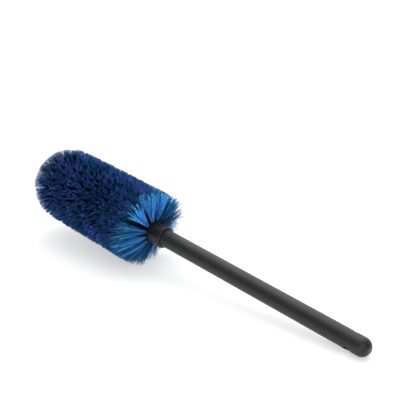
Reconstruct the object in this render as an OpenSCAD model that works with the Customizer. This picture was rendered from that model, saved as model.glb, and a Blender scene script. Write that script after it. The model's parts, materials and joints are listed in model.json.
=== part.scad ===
// Wheel brush: a long straight handle with a domed, round tufted head.
// It lies as it would on a bench: the rim tufts and the handle's end touch Z = 0.
// Every piece is first drawn along its own X axis, from the dome's centre (X = 0) towards
// the handle's end, and lie_down() then tips the whole brush onto its two resting points.

/* [Head] */
// Outside diameter of the trimmed bristles
head_d = 78; // [76:1:90]
// Length of the straight bristled barrel, from the dome's centre to the rim
barrel_len = 133; // [118:1:150]
// Diameter of the moulded core that holds the tufts
core_d = 24; // [24:0.5:27]
// Diameter of the hub at the handle's shoulder, to which it tapers from the core
hub_d = 22.4; // [22:0.2:23.4]
// Length of the hub, from the rim to the handle's shoulder
hub_len = 14; // [10:1:30]

/* [Tufts] */
// Number of tuft rows along the barrel
row_count = 20; // [14:2:20]
// Number of tufts around each barrel row
tufts_per_row = 12; // [10:1:12]
// Diameter of each tuft hole
hole_d = 3; // [2.6:0.1:3]
// Depth of each barrel tuft hole
hole_depth = 4.8; // [4:0.2:4.8]
// Diameter that a barrel tuft has spread to where it is trimmed
barrel_spread = 11.2; // [8:0.2:11.4]
// Diameter that a dome tuft has spread to where it is trimmed
dome_spread = 14; // [10:0.5:14]

/* [Handle] */
// Diameter of the handle
handle_d = 17.4; // [16:0.2:18.2]
// Distance from the rim to the handle's rounded end
handle_reach = 254; // [180:1:320]
// Diameter of the handle's spigot inside the hub
spigot_d = 12; // [8:0.5:12]
// Length of the spigot
spigot_len = 16; // [10:1:16]

/* [Hanging hole] */
// Diameter of the hanging hole
hang_d = 8; // [5:0.5:9]
// Distance from the handle's end to the hole's centre
hang_inset = 18; // [17:1:30]
// Turn of the hole about the handle's axis, from straight up
hang_turn = 134; // [0:1:180]

/* [Hidden] */
$fn = 72;

head_r = head_d / 2;
core_r = core_d / 2;
handle_r = handle_d / 2;
hole_r = hole_d / 2;
hang_r = hang_d / 2;

// Running room between a tuft's folded root and its hole
root_gap = 0.05;
// Room left under a tuft's fold
floor_gap = 0.1;
// The dome's holes are shallower, because they close up towards its centre
dome_depth = hole_depth - 1;
// Stagger between one barrel row and the next, in steps of the tuft spacing
stagger = 0.5;
row_step = 360 / tufts_per_row;
rim_inset = 4;
last_row_x = barrel_len - rim_inset;
row_pitch = last_row_x / (row_count - 1);

// Rings of tufts on the dome: lean towards the tip, number of tufts, turn of the first one
dome_rings = [[19, 12, row_step / 2], [43, 9, 0], [66.5, 5, 0], [90, 1, 0]];

// The wire anchor that pins each tuft's fold: length across the hole, thickness and height
anchor_long = hole_d - 0.04;
anchor_thick = 0.35;
anchor_high = 1.4;
anchor_lift = 0.6;

core_past_row = 2.6;
core_end_x = last_row_x + core_past_row;
hub_round = 2.2;
hub_round_steps = 8;
hub_end_x = barrel_len + hub_len;
handle_end_x = barrel_len + handle_reach;
end_flat = 0.6;
round_x = handle_end_x + end_flat - handle_r;
hang_x = handle_end_x - hang_inset;
spigot_chamfer = 0.8;
socket_gap = 0.02;
socket_relief = 1;
past = 1;

// The brush rests on the two lowest tufts of its last row and on its rounded end, so its
// axis dips towards the handle by the angle at which all three are on the ground. Those two
// tufts touch it with the quarter of their trimmed tips that faces the handle and each other.
quarter_reach = barrel_spread / 2 * cos(45);
rest_turn = row_step / 2 - asin(quarter_reach / head_r);
rest_r = head_r * cos(rest_turn);
rest_x = last_row_x + quarter_reach;
rest_span = round_x - rest_x;
rest_dip = acos(handle_r / norm([rest_r, rest_span])) - atan2(rest_span, rest_r);
middle_x = (handle_end_x - head_r) / 2;

function two_digits(number) = str(number < 10 ? "0" : "", number);
function barrel_name(row) = str("tuft_row_", two_digits(row + 1));
function dome_name(ring) = ring == 3 ? "tuft_tip" : str("tuft_dome_ring_", ring + 1);
function row_x(row) = row * row_pitch;
function row_turn(row, place) = (place + (row % 2) * stagger) * row_step;

// Lays a piece drawn on the brush's own axis down on the ground
module lie_down() {
    translate([-middle_x * cos(rest_dip), 0, rest_r * cos(rest_dip) + rest_x * sin(rest_dip)])
        rotate([0, rest_dip, 0])
            children();
}

// Stands a piece drawn along Z on the brush's axis at x, turned about X and leant to the tip
module stand_out(x, turn, lean = 0) {
    translate([x, 0, 0])
        rotate([turn, 0, 0])
            rotate([0, -lean, 0])
                children();
}

// A cylinder along X from one place to another
module rod_x(from, to, r1, r2) {
    translate([from, 0, 0])
        rotate([0, 90, 0])
            cylinder(h = to - from, r1 = r1, r2 = r2);
}

// The shape that the bristles are trimmed to
module trim_shape() {
    rod_x(0, last_row_x + barrel_spread, head_r, head_r);
    sphere(r = head_r);
}

module tuft_hole(depth) {
    translate([0, 0, core_r - depth])
        cylinder(h = depth + past, r = hole_r);
}

// The flat wire anchor that lies across the bottom of a tuft hole
module anchor(depth) {
    translate([-anchor_long / 2, -anchor_thick / 2, core_r - depth + anchor_lift])
        cube([anchor_long, anchor_thick, anchor_high]);
}

// One bundle of bristles, folded over its anchor in the hole and spread towards its tip
module tuft(depth, spread) {
    root_r = hole_r - root_gap;
    root_z = core_r - depth + floor_gap;
    difference() {
        rotate_extrude()
            polygon([
                [0, root_z],
                [root_r, root_z],
                [root_r, core_r],
                [spread / 2, head_r + past],
                [0, head_r + past]
            ]);
        anchor(depth);
    }
}

module at_barrel_row(row) {
    for (place = [0:tufts_per_row - 1])
        stand_out(row_x(row), row_turn(row, place))
            children();
}

module at_dome_ring(ring) {
    lean = dome_rings[ring][0];
    count = dome_rings[ring][1];
    for (place = [0:count - 1])
        stand_out(0, dome_rings[ring][2] + place * 360 / count, lean)
            children();
}

module barrel_row(row) {
    color("midnightblue")
        intersection() {
            at_barrel_row(row) tuft(hole_depth, barrel_spread);
            trim_shape();
        }
}

module dome_ring(ring) {
    color("midnightblue")
        intersection() {
            at_dome_ring(ring) tuft(dome_depth, dome_spread);
            trim_shape();
        }
}

module anchors_barrel() {
    color("silver")
        for (row = [0:row_count - 1])
            at_barrel_row(row) anchor(hole_depth);
}

module anchors_dome() {
    color("silver")
        for (ring = [0:3])
            at_dome_ring(ring) anchor(dome_depth);
}

// The hub tapers from the core to a rounded edge at its end face
module hub() {
    edge_x = hub_end_x - hub_round;
    edge_r = hub_d / 2 - hub_round;
    rod_x(core_end_x, edge_x, core_r, hub_d / 2);
    rotate([0, 90, 0])
        rotate_extrude()
            polygon(concat(
                [[0, hub_end_x], [0, edge_x]],
                [for (step = [0:hub_round_steps])
                    [
                        edge_r + hub_round * cos(90 * step / hub_round_steps),
                        edge_x + hub_round * sin(90 * step / hub_round_steps)
                    ]]
            ));
}

// The moulded core: a round-nosed bar drilled for the tufts, with the hub and its socket
module head_core() {
    socket_r = spigot_d / 2 + socket_gap;
    color("#1c1e21")
        difference() {
            union() {
                rod_x(0, core_end_x, core_r, core_r);
                sphere(r = core_r);
                hub();
            }
            rod_x(hub_end_x - spigot_len - socket_relief, hub_end_x + past, socket_r, socket_r);
            for (row = [0:row_count - 1])
                at_barrel_row(row) tuft_hole(hole_depth);
            for (ring = [0:3])
                at_dome_ring(ring) tuft_hole(dome_depth);
        }
}

module hang_hole() {
    stand_out(hang_x, hang_turn)
        cylinder(h = handle_d + 2 * past, r = hang_r, center = true);
}

// The straight handle with its spigot, rounded end and hanging hole
module handle() {
    spigot_r = spigot_d / 2;
    spigot_x = hub_end_x - spigot_len;
    color("#3c3d3f")
        difference() {
            union() {
                rod_x(spigot_x, spigot_x + spigot_chamfer, spigot_r - spigot_chamfer, spigot_r);
                rod_x(spigot_x + spigot_chamfer, hub_end_x, spigot_r, spigot_r);
                rod_x(hub_end_x, round_x, handle_r, handle_r);
                translate([round_x, 0, 0]) sphere(r = handle_r);
            }
            hang_hole();
            translate([handle_end_x, -handle_r, -handle_r])
                cube([handle_d, handle_d, handle_d]);
        }
}

lie_down() head_core();
lie_down() handle();
lie_down() anchors_barrel();
lie_down() anchors_dome();
for (row = [0:row_count - 1])
    lie_down() barrel_row(row);
for (ring = [0:3])
    lie_down() dome_ring(ring);
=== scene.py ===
"""Looks for the wheel brush: filaments in place of the solid tufts, plastics and a studio."""

import json
import math

import bpy
import numpy as np
from mathutils import Matrix, Vector


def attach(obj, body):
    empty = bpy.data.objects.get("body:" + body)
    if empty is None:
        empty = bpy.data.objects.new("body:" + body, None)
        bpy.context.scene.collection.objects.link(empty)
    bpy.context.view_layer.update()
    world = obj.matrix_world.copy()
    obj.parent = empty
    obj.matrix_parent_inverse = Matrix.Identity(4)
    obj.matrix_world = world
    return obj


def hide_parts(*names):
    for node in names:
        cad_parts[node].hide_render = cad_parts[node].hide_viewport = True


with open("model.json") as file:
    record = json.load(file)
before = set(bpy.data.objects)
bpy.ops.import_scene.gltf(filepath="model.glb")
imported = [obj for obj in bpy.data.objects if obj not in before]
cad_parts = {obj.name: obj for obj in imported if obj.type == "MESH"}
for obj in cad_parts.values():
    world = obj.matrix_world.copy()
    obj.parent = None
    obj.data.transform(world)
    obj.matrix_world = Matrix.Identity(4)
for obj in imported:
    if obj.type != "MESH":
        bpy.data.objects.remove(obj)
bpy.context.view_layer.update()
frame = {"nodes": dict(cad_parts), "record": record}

MM = 0.001

# ---- The brush's own axis, from the handle's mount -------------------------------------------

GRIP = next(m for m in frame["record"]["mounts"] if m["name"] == "handle_grip")
ALONG = np.array(GRIP["axis"]) / np.linalg.norm(GRIP["axis"])
ACROSS = np.array([0.0, 1.0, 0.0])
UP = np.cross(ALONG, ACROSS)
SHOULDER = np.array(GRIP["pos_m"]) - ALONG * GRIP["dims"]["length_mm"] * MM / 2
HUB_LEN = 14 * MM
BARREL_LEN = 133 * MM
RIM = SHOULDER - ALONG * HUB_LEN
DOME = RIM - ALONG * BARREL_LEN

# ---- Tufts: the sizes that the holes and the trimmed head have in CAD ------------------------

HEAD_R = 39 * MM
CORE_R = 12 * MM
HOLE_R = 1.5 * MM
BARREL_DEPTH = 4.8 * MM
DOME_DEPTH = 3.8 * MM
ROWS = 20
TUFTS_PER_ROW = 12
LAST_ROW = BARREL_LEN - 4 * MM
DOME_RINGS = [(19, 12, 15), (43, 9, 0), (66.5, 5, 0), (90, 1, 0)]

# ---- Filaments: how many, how thick, and how far a tuft's tips spread from its middle -------------

LOOPS_PER_TUFT = 54
FILAMENT_R = 0.13 * MM
SIDES = 3
LEG_STEPS = (0.35, 0.7, 1.0)
BARREL_SPREAD = 8.0 * MM
DOME_SPREAD = 10.8 * MM
# Heights over the hole's floor: of a filament's fold, under the anchor, and of its halves, just above it
FOLD_UP = 0.25 * MM
ROOT_UP = 2.2 * MM
# Where filaments stand in the hole, as shares of its radius, and how far the tuft's halves part
HOLD = [0.80, 0.62]
PARTING = 0.30 * MM
# Tips gather into clumps by a share of the way; on the dome they gather less
CLUMPS_PER_SIDE = 5
RIM_CLUMPS = 14
PULL_LOW, PULL_HIGH = 0.3, 0.75
DOME_PULL = 0.35
# Unevenness of a tuft's aim, of one tip, of a filament's bow, and of the cut by clump and by filament
DRIFT = 1.3 * MM
SCATTER = 0.5 * MM
BOW = 0.35 * MM
CLUMP_CUT = 0.35 * MM
OWN_CUT = 0.4 * MM
CUT_PROUD = 0.3 * MM
SHORTEST, LONGEST = -1.5 * MM, 1.2 * MM
FLOOR_GAP = 0.15 * MM

# ---- The rim: its last rows lean towards the tip, most of all underneath, show their sides and get painted light ----

RIM_ROWS = 6
# Share of painted light, in place of the painted shade, for the rows counted from the rim
RIM_PAINTED_LIGHT = {1: 1.0, 2: 0.45}
RIM_TOP_TURN = 350
RIM_LEAN = -9.8 * MM
RIM_SWAY = 7.6 * MM
RIM_SPREAD = 1.6 * MM

# ---- Materials --------------------------------------------------------------------------------


def new_material(name):
    material = bpy.data.materials.new(name)
    material.use_nodes = True
    nodes = material.node_tree.nodes
    return material, nodes, material.node_tree.links, nodes["Principled BSDF"]


def ramp(nodes, stops):
    node = nodes.new("ShaderNodeValToRGB")
    elements = node.color_ramp.elements
    while len(elements) < len(stops):
        elements.new(0.5)
    for element, (place, colour) in zip(elements, stops):
        element.position = place
        element.color = (*colour, 1)
    return node


def attribute(nodes, name):
    node = nodes.new("ShaderNodeAttribute")
    node.attribute_name = name
    return node.outputs["Fac"]


def blend(nodes, links, way, first, second, share=None):
    """Mixes two colours, by a whole share unless one is wired in."""
    node = nodes.new("ShaderNodeMix")
    node.data_type = "RGBA"
    node.blend_type = way
    node.inputs["Factor"].default_value = 1.0
    links.new(first, node.inputs["A"])
    links.new(second, node.inputs["B"])
    if share:
        links.new(share, node.inputs["Factor"])
    return node.outputs["Result"]


def noise(nodes, links, scale, detail=4.0, roughness=0.5):
    """Noise in the frame's own metres, so that its grain has a real size."""
    place = nodes.new("ShaderNodeTexCoord")
    node = nodes.new("ShaderNodeTexNoise")
    node.inputs["Scale"].default_value = scale
    node.inputs["Detail"].default_value = detail
    node.inputs["Roughness"].default_value = roughness
    links.new(place.outputs["Object"], node.inputs["Vector"])
    return node.outputs["Fac"]


def bristle_material():
    """Blue nylon in many shades: painted azure light on the rim rows that show their sides, painted near
    black shade low in the head.
    """
    material, nodes, links, shader = new_material("bristle_nylon")
    along = attribute(nodes, "along")
    # Painted shade: each filament goes near black from its tip down to its root, as if shaded inside the
    # head; only the violet navy at the tips is the nylon's own colour.
    painted_root_shade = ramp(nodes, [
        (0.0, (0.002, 0.004, 0.012)),
        (0.55, (0.003, 0.007, 0.035)),
        (0.85, (0.012, 0.016, 0.110)),
        (1.0, (0.082, 0.060, 0.290)),
    ])
    # Painted light: azure all along the filaments of the rim rows, as if lit where they show their
    # sides.
    painted_light_rim = ramp(nodes, [
        (0.0, (0.080, 0.230, 0.500)),
        (0.3, (0.120, 0.330, 0.620)),
        (1.0, (0.110, 0.280, 0.540)),
    ])
    links.new(along, painted_root_shade.inputs["Fac"])
    links.new(along, painted_light_rim.inputs["Fac"])
    # The 'open' attribute holds each row's share of painted light, which it mixes in over the painted
    # shade.
    painted_light_mask = attribute(nodes, "open")
    length = blend(nodes, links, "MIX", painted_root_shade.outputs["Color"], painted_light_rim.outputs["Color"], painted_light_mask)
    shades = ramp(nodes, [
        (0.15, (0.02, 0.02, 0.03)),
        (0.6, (0.60, 0.42, 0.50)),
        (0.9, (3.2, 4.5, 3.6)),
    ])
    links.new(attribute(nodes, "shade"), shades.inputs["Fac"])
    colour = blend(nodes, links, "MULTIPLY", length, shades.outputs["Color"])
    links.new(colour, shader.inputs["Base Color"])
    shader.inputs["Roughness"].default_value = 0.4
    shader.inputs["Specular IOR Level"].default_value = 0.2
    glow = nodes.new("ShaderNodeBsdfTranslucent")
    # Painted shade in the translucent colour too: near black below the last fifth of each filament,
    # azure only at the tips.
    through = ramp(nodes, [(0.8, (0.004, 0.010, 0.060)), (1.0, (0.130, 0.60, 1.0))])
    links.new(along, through.inputs["Fac"])
    # Painted light in the translucent colour of the rim rows: azure all along.
    painted_light_glow = ramp(nodes, [(0.0, (0.090, 0.52, 0.94)), (1.0, (0.160, 0.72, 1.0))])
    links.new(along, painted_light_glow.inputs["Fac"])
    painted_glow_colour = blend(nodes, links, "MIX", through.outputs["Color"], painted_light_glow.outputs["Color"], painted_light_mask)
    links.new(painted_glow_colour, glow.inputs["Color"])
    mix = nodes.new("ShaderNodeMixShader")
    mix.inputs["Fac"].default_value = 0.6
    links.new(shader.outputs["BSDF"], mix.inputs[1])
    links.new(glow.outputs["BSDF"], mix.inputs[2])
    links.new(mix.outputs["Shader"], nodes["Material Output"].inputs["Surface"])
    return material


def plastic_material(name, dark, light, rough_low, rough_high, sheen, grain, depth):
    """Moulded plastic: fine spark-eroded grain, with slightly uneven colour and gloss."""
    material, nodes, links, shader = new_material(name)
    cloudy = noise(nodes, links, 60.0, detail=5.0)
    colour = ramp(nodes, [(0.3, dark), (0.7, light)])
    links.new(cloudy, colour.inputs["Fac"])
    links.new(colour.outputs["Color"], shader.inputs["Base Color"])
    rough = nodes.new("ShaderNodeMapRange")
    rough.inputs["To Min"].default_value = rough_low
    rough.inputs["To Max"].default_value = rough_high
    links.new(noise(nodes, links, 240.0), rough.inputs["Value"])
    links.new(rough.outputs["Result"], shader.inputs["Roughness"])
    shader.inputs["Specular IOR Level"].default_value = sheen
    bump = nodes.new("ShaderNodeBump")
    bump.inputs["Strength"].default_value = 1.0
    bump.inputs["Distance"].default_value = depth
    links.new(noise(nodes, links, grain, detail=2.0), bump.inputs["Height"])
    links.new(bump.outputs["Normal"], shader.inputs["Normal"])
    return material


def steel_material():
    """Flat drawn wire: bright, with a fine uneven tone."""
    material, nodes, links, shader = new_material("anchor_wire")
    colour = ramp(nodes, [(0.35, (0.42, 0.43, 0.45)), (0.65, (0.62, 0.63, 0.65))])
    links.new(noise(nodes, links, 900.0), colour.inputs["Fac"])
    links.new(colour.outputs["Color"], shader.inputs["Base Color"])
    shader.inputs["Metallic"].default_value = 1.0
    shader.inputs["Roughness"].default_value = 0.32
    return material


def floor_material():
    material, nodes, links, shader = new_material("studio_floor")
    colour = ramp(nodes, [(0.3, (0.64, 0.64, 0.645)), (0.7, (0.66, 0.66, 0.665))])
    links.new(noise(nodes, links, 3.0), colour.inputs["Fac"])
    links.new(colour.outputs["Color"], shader.inputs["Base Color"])
    shader.inputs["Emission Color"].default_value = (1, 1, 1, 1)
    shader.inputs["Emission Strength"].default_value = 0.50
    shader.inputs["Roughness"].default_value = 0.9
    shader.inputs["Specular IOR Level"].default_value = 0.1
    return material


# ---- Filaments --------------------------------------------------------------------------------


def tuft_frame(x, turn, lean):
    """Foot on the axis, and the tuft's own directions: outwards, along the brush and round it."""
    turn, lean = math.radians(turn), math.radians(lean)
    sideways = -math.sin(turn) * ACROSS + math.cos(turn) * UP
    outwards = -math.sin(lean) * ALONG + math.cos(lean) * sideways
    lengthways = math.cos(lean) * ALONG + math.sin(lean) * sideways
    return DOME + ALONG * x, outwards, lengthways, np.cross(outwards, lengthways)


def disc(rng, count):
    """Evenly scattered points of the unit disc's upper half, as two columns."""
    radius = np.sqrt((np.arange(count) + rng.uniform(0.2, 0.8, count)) / count)
    angle = np.pi * ((np.arange(count) * 0.618034 + rng.uniform(0, 0.08, count)) % 1.0)
    return np.stack([radius * np.cos(angle), radius * np.sin(angle)], axis=1)


def trimmed(points, proud):
    """Moves tips in or out to the shape they are cut to: a cylinder with a round end."""
    offset = points - DOME
    x = offset @ ALONG
    radial = offset - x[:, None] * ALONG
    from_centre = np.where((x < 0)[:, None], offset, radial)
    scale = (HEAD_R + np.clip(proud, SHORTEST, LONGEST)) / np.linalg.norm(from_centre, axis=1)
    return points + from_centre * (scale - 1)[:, None]


def tuft_loops(rng, x, turn, lean, depth, spread, lean_x=0.0):
    """Paths of one tuft's filaments, each from tip to tip through its fold under the anchor.

    Also returns a direction across each path, and a shade for each point of each path.
    """
    foot, outwards, lengthways, around = tuft_frame(x, turn, lean)
    mouth_at = foot + outwards * CORE_R
    root_at = foot + outwards * (CORE_R - depth + ROOT_UP)
    drift = rng.normal(0, DRIFT, 2) + np.array([lean_x, 0])
    own = rng.uniform(-0.2, 0.2)
    clump_count = RIM_CLUMPS if lean_x else CLUMPS_PER_SIDE
    legs, shades = [], []
    for side in (1, -1):
        place = disc(rng, LOOPS_PER_TUFT) * [1, side]
        hold = place * HOLD * HOLE_R + [0, side * PARTING]
        clumps = disc(rng, clump_count) * [1, side] * 1.05
        nearest = np.argmin(np.linalg.norm(place[:, None] - clumps, axis=2), axis=1)
        pull = rng.uniform(PULL_LOW, PULL_HIGH, LOOPS_PER_TUFT)[:, None] * (DOME_PULL if lean else 1.0)
        tip = spread * (place * (1 - pull) + clumps[nearest] * pull) + drift
        tip += rng.normal(0, SCATTER, tip.shape)
        ends = foot + outwards * HEAD_R + tip[:, :1] * lengthways + tip[:, 1:] * around
        cut = rng.normal(CUT_PROUD, CLUMP_CUT, clump_count)[nearest]
        cut += rng.normal(0, OWN_CUT, LOOPS_PER_TUFT)
        ends = trimmed(ends, cut)
        root = root_at + hold[:, :1] * lengthways + hold[:, 1:] * around
        mouth = mouth_at + hold[:, :1] * lengthways + hold[:, 1:] * around
        bow = rng.normal(0, BOW, (LOOPS_PER_TUFT, 2))
        path = [root, mouth]
        for t in LEG_STEPS:
            straight = mouth + (ends - mouth) * t
            fan = (tip - hold) * (t ** 1.25 - t) + bow * math.sin(math.pi * t)
            path.append(straight + fan[:, :1] * lengthways + fan[:, 1:] * around)
        legs.append(np.stack(path, axis=1))
        tone = rng.beta(0.45, 0.55, clump_count)[nearest]
        shades.append(np.clip(own + 0.65 * tone + 0.35 * rng.beta(0.6, 0.7, LOOPS_PER_TUFT), 0, 1))
    under = foot + outwards * (CORE_R - depth + FOLD_UP)
    fold = under + (legs[0][:, 0] - root_at) @ lengthways[:, None] * lengthways
    paths = np.concatenate([legs[0][:, ::-1], fold[:, None], legs[1]], axis=1)
    paths[..., 2] = np.maximum(paths[..., 2], FLOOR_GAP)
    half = legs[0].shape[1]
    shade = np.repeat(np.stack(shades, axis=1), [half + 1, half], axis=1)
    return paths, np.broadcast_to(lengthways, (len(paths), 3)), shade


def tubes(paths, across):
    """Rings of SIDES points round each path."""
    step = np.gradient(paths, axis=1)
    step /= np.linalg.norm(step, axis=2, keepdims=True)
    first = across[:, None] - (step * across[:, None]).sum(2, keepdims=True) * step
    first /= np.linalg.norm(first, axis=2, keepdims=True)
    second = np.cross(step, first)
    angles = np.arange(SIDES) * 2 * math.pi / SIDES
    round_it = first[:, :, None] * np.cos(angles)[:, None] + second[:, :, None] * np.sin(angles)[:, None]
    return paths[:, :, None] + FILAMENT_R * round_it


def tube_faces(count, rings):
    """Quads along every tube, and a cap at both of its ends."""
    faces = []
    for tube in range(count):
        start = tube * rings * SIDES
        for ring in range(rings - 1):
            low = start + ring * SIDES
            for side in range(SIDES):
                after = (side + 1) % SIDES
                faces.append((low + side, low + after, low + SIDES + after, low + SIDES + side))
        last = start + (rings - 1) * SIDES
        faces.append(tuple(start + side for side in reversed(range(SIDES))))
        faces.append(tuple(last + side for side in range(SIDES)))
    return faces


def bristle_piece(name, node, tufts, material, rng, painted_light_share=0.0):
    """One ring of tufts as a mesh of separate filaments, which stands for the CAD node."""
    made = [tuft_loops(rng, *tuft) for tuft in tufts]
    paths = np.concatenate([m[0] for m in made])
    across = np.concatenate([m[1] for m in made])
    shade = np.concatenate([m[2] for m in made])
    count, rings = paths.shape[:2]
    points = tubes(paths, across).reshape(-1, 3)
    mesh = bpy.data.meshes.new(name)
    mesh.from_pydata(points.tolist(), [], tube_faces(count, rings))
    mesh.polygons.foreach_set("use_smooth", [len(p.vertices) == 4 for p in mesh.polygons])
    steps = [*reversed(LEG_STEPS), 0.0, 0.0]
    along = np.array([*steps, 0.0, *reversed(steps)])
    values = {
        "along": np.tile(np.repeat(along, SIDES), count),
        "shade": np.repeat(shade.ravel(), SIDES),
        # Each row's share of painted light, the same all over the piece
        "open": np.full(len(points), painted_light_share),
    }
    for key, data in values.items():
        layer = mesh.attributes.new(key, "FLOAT", "POINT")
        layer.data.foreach_set("value", data.astype(np.float32))
    mesh.materials.append(material)
    mesh.update()
    piece = bpy.data.objects.new(name, mesh)
    bpy.context.scene.collection.objects.link(piece)
    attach(piece, "root")
    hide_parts(node)
    return piece


def barrel_tufts(row):
    x = LAST_ROW * row / (ROWS - 1)
    tufts = []
    for place in range(TUFTS_PER_ROW):
        turn = (place + (row % 2) / 2) * 360 / TUFTS_PER_ROW
        near_rim = max(0.0, (row - (ROWS - 1 - RIM_ROWS)) / RIM_ROWS) ** 1.5
        lean_x = near_rim * (RIM_LEAN + RIM_SWAY * math.cos(math.radians(turn - RIM_TOP_TURN)))
        tufts.append((x, turn, 0, BARREL_DEPTH, BARREL_SPREAD + near_rim * RIM_SPREAD, lean_x))
    return tufts


def dome_tufts(ring):
    lean, count, first = DOME_RINGS[ring]
    return [(0, first + place * 360 / count, lean, DOME_DEPTH, DOME_SPREAD) for place in range(count)]


bristle = bristle_material()
for row in range(ROWS):
    bristle_piece(f"bristles_row_{row + 1:02d}", f"tuft_row_{row + 1:02d}", barrel_tufts(row), bristle,
                  np.random.default_rng(100 + row), RIM_PAINTED_LIGHT.get(ROWS - row, 0.0))
for ring, node in enumerate(["tuft_dome_ring_1", "tuft_dome_ring_2", "tuft_dome_ring_3", "tuft_tip"]):
    bristle_piece(node.replace("tuft", "bristles"), node, dome_tufts(ring), bristle,
                  np.random.default_rng(200 + ring))

# ---- Plastic and steel --------------------------------------------------------------------------

handle_plastic = plastic_material("handle_plastic", (0.009, 0.009, 0.0091), (0.014, 0.014, 0.0141),
                                  0.36, 0.46, 0.40, 2600.0, 0.00003)
hub_plastic = plastic_material("hub_plastic", (0.004, 0.0045, 0.005), (0.007, 0.0075, 0.008),
                               0.20, 0.28, 0.32, 1500.0, 0.00001)
steel = steel_material()
for node, material in [("handle", handle_plastic), ("head_core", hub_plastic),
                       ("anchors_barrel", steel), ("anchors_dome", steel)]:
    for slot in frame["nodes"][node].material_slots:
        slot.material = material

# ---- Studio -------------------------------------------------------------------------------------

bpy.ops.mesh.primitive_plane_add(size=8)
floor = bpy.context.object
floor.name = "floor"
floor.data.materials.append(floor_material())

# Up and away from the camera's side, as a direction of length one
BRIGHT_SIDE = (-0.50, 0.53, 0.685)


def studio_world():
    """A light tent that is bright above and behind the brush, and dimmer on the near side."""
    world = bpy.data.worlds.new("studio")
    world.use_nodes = True
    nodes, links = world.node_tree.nodes, world.node_tree.links
    place = nodes.new("ShaderNodeTexCoord")
    towards = nodes.new("ShaderNodeVectorMath")
    towards.operation = "DOT_PRODUCT"
    towards.inputs[1].default_value = BRIGHT_SIDE
    sky = ramp(nodes, [(0.0, (0.36, 0.36, 0.36)), (0.45, (0.48, 0.48, 0.48)), (1.0, (1.9, 1.9, 1.9))])
    links.new(place.outputs["Generated"], towards.inputs[0])
    links.new(towards.outputs["Value"], sky.inputs["Fac"])
    links.new(sky.outputs["Color"], nodes["Background"].inputs["Color"])
    return world


bpy.context.scene.world = studio_world()


def softbox(name, place, size, power):
    light = bpy.data.lights.new(name, "AREA")
    light.shape = "RECTANGLE"
    light.size, light.size_y = size
    light.energy = power
    lamp = bpy.data.objects.new(name, light)
    lamp.location = place
    lamp.rotation_euler = (-Vector(place)).to_track_quat("-Z", "Y").to_euler()
    bpy.context.scene.collection.objects.link(lamp)
    return lamp


softbox("overhead", (-0.20, 0.30, 1.4), (1.3, 1.3), 5)
softbox("window", (0.9, -0.6, 0.8), (0.5, 0.7), 3)
softbox("front", (0.45, -0.95, 0.2), (0.12, 0.12), 1.2)

# ---- Camera -------------------------------------------------------------------------------------

AZIMUTH, ELEVATION = math.radians(43.55), math.radians(21.59)
DISTANCE = 0.8629
SHOULDER_LEFT, SHOULDER_BELOW = 0.0405, 0.0296
LENS, SENSOR = 76.44, 36

right = Vector((math.cos(AZIMUTH), math.sin(AZIMUTH), 0))
level = Vector((-math.sin(AZIMUTH), math.cos(AZIMUTH), 0))
view = level * math.cos(ELEVATION) - Vector((0, 0, math.sin(ELEVATION)))
upward = level * math.sin(ELEVATION) + Vector((0, 0, math.cos(ELEVATION)))
camera = bpy.data.objects.new("camera", bpy.data.cameras.new("camera"))
camera.data.lens = LENS
camera.data.sensor_width = SENSOR
camera.location = Vector(SHOULDER) + right * SHOULDER_LEFT + upward * SHOULDER_BELOW - view * DISTANCE
camera.rotation_euler = Matrix((right, upward, -view)).transposed().to_euler()
bpy.context.scene.collection.objects.link(camera)
bpy.context.scene.camera = camera
bpy.context.scene.view_settings.view_transform = "Standard"
